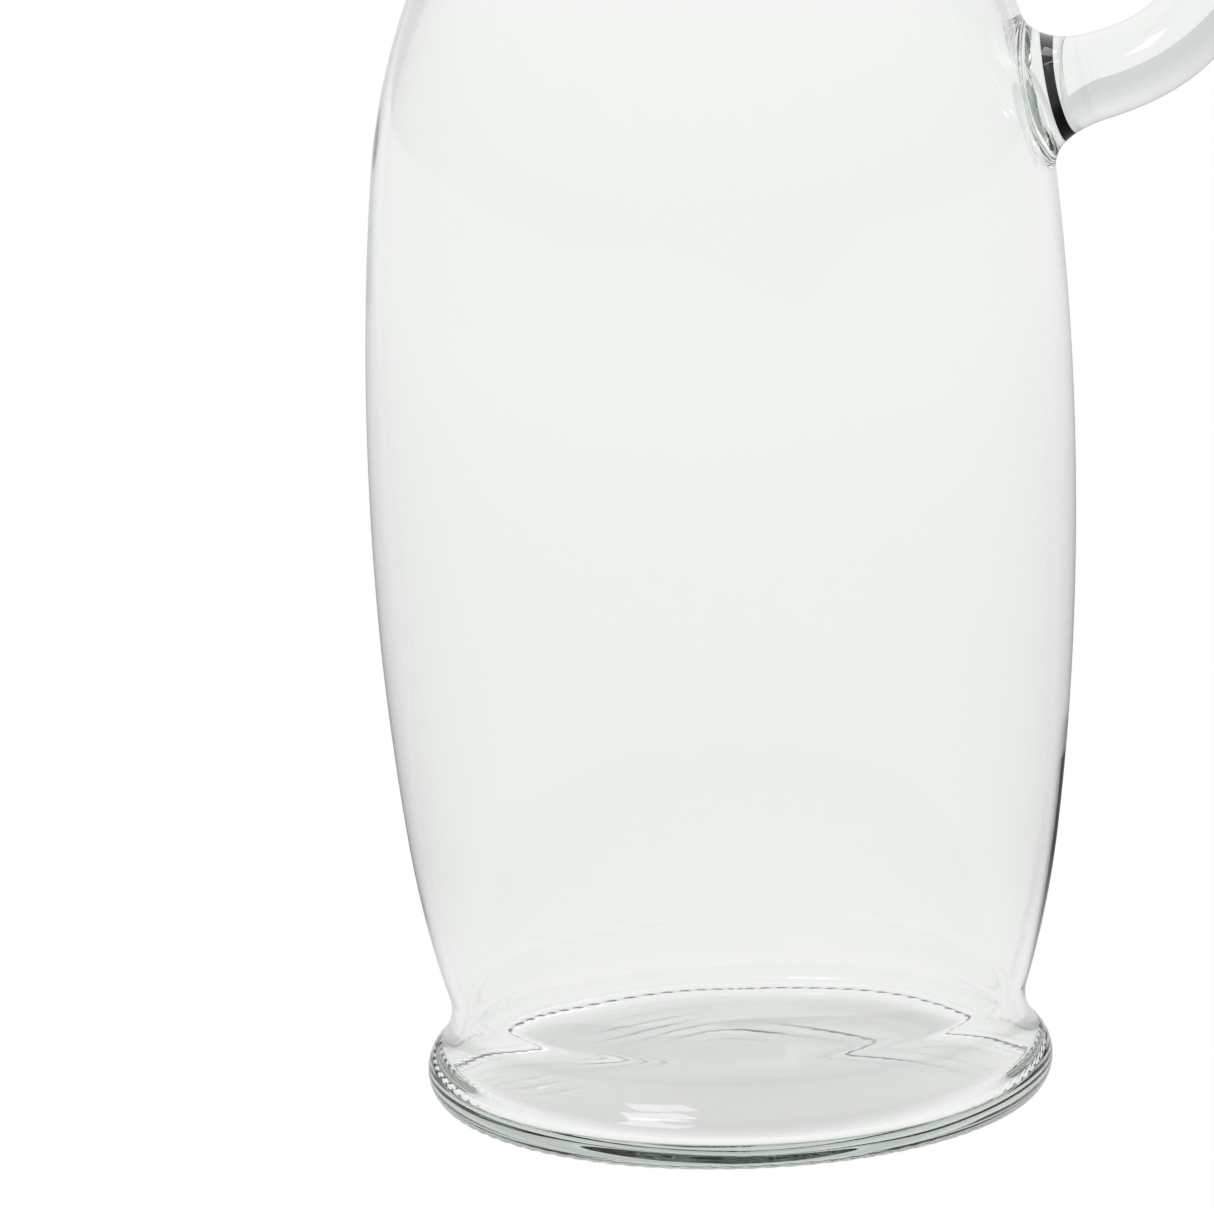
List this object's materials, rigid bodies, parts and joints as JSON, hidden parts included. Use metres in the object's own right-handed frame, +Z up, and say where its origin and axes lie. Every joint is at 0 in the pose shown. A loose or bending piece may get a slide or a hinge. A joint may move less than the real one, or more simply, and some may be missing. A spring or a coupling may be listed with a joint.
{
  "type": "growler",
  "caption": "Barrel-shaped clear glass bottle with a pinched waist above its foot, a solid glass side handle and a wire swing-top closure with a ceramic stopper",
  "frame": {"origin": "on the bottle's axis, in the plane that it stands on", "axes": "+Z up along the bottle's axis; +X towards the side handle; -X towards the closure's lever; -Y the front"},
  "size_m": [0.1569, 0.1214, 0.3082],
  "materials": {
    "bottle_glass": "clear, polished, with a faint grey-green tint",
    "band_steel": "stainless strap, lightly brushed",
    "wire_steel": "bright stainless wire",
    "stopper_ceramic": "white glaze",
    "gasket_rubber": "matt, orange-red"
  },
  "bodies": {
    "bottle": {"bottle_glass": "bottle_glass", "side_handle": "bottle_glass", "neck_band": "band_steel", "band_screw": "band_steel", "band_nut": "band_steel", "pivot_stud_front": "band_steel", "pivot_stud_back": "band_steel"},
    "lever": {"lever_wire": "wire_steel"},
    "bail": {"bail_wire": "wire_steel"},
    "stopper": {"stopper": "stopper_ceramic", "gasket": "gasket_rubber"}
  },
  "joints": [
    {"name": "lever_swing", "type": "hinge", "parent": "bottle", "child": "lever", "pos_m": [0, 0, 0.266], "axis": [0, 1, 0], "range_deg": [0, 120]},
    {"name": "bail_swing", "type": "hinge", "parent": "lever", "child": "bail", "pos_m": [0, 0, 0.254], "axis": [0, 1, 0], "range_deg": [-79.2, 0]},
    {"name": "stopper_tilt", "type": "hinge", "parent": "bail", "child": "stopper", "pos_m": [0, 0, 0.3], "axis": [0, 1, 0], "range_deg": [-33.6, 0]}
  ],
  "couplings": [
    {"joint": "bail_swing", "follows": "lever_swing", "ratio": -0.66},
    {"joint": "stopper_tilt", "follows": "lever_swing", "ratio": -0.28}
  ]
}
